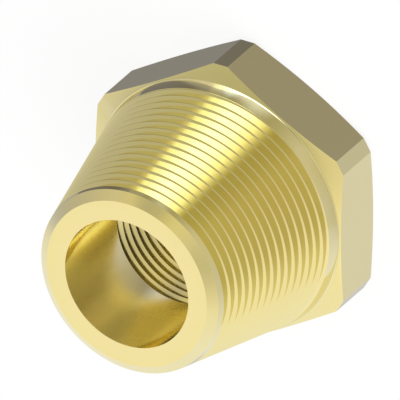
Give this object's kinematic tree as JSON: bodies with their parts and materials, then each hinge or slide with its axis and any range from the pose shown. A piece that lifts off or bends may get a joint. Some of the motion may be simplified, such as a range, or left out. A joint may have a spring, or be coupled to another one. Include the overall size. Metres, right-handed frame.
{
  "type": "pipe bushing",
  "caption": "Hexagon-headed reducing bushing for threaded pipe: a tapered male end with a smooth waterway, and a threaded socket in the head.",
  "frame": {"origin": "centre of the hexagon head's outer face, on which the bushing stands", "axes": "+Z along the pipe axis, from the head up to the male end; two opposite corners of the hexagon lie along X"},
  "size_m": [0.0688, 0.0614, 0.0534],
  "materials": {
    "brass": "polished, as machined"
  },
  "bodies": {
    "root": {"bushing": "brass"}
  },
  "joints": []
}
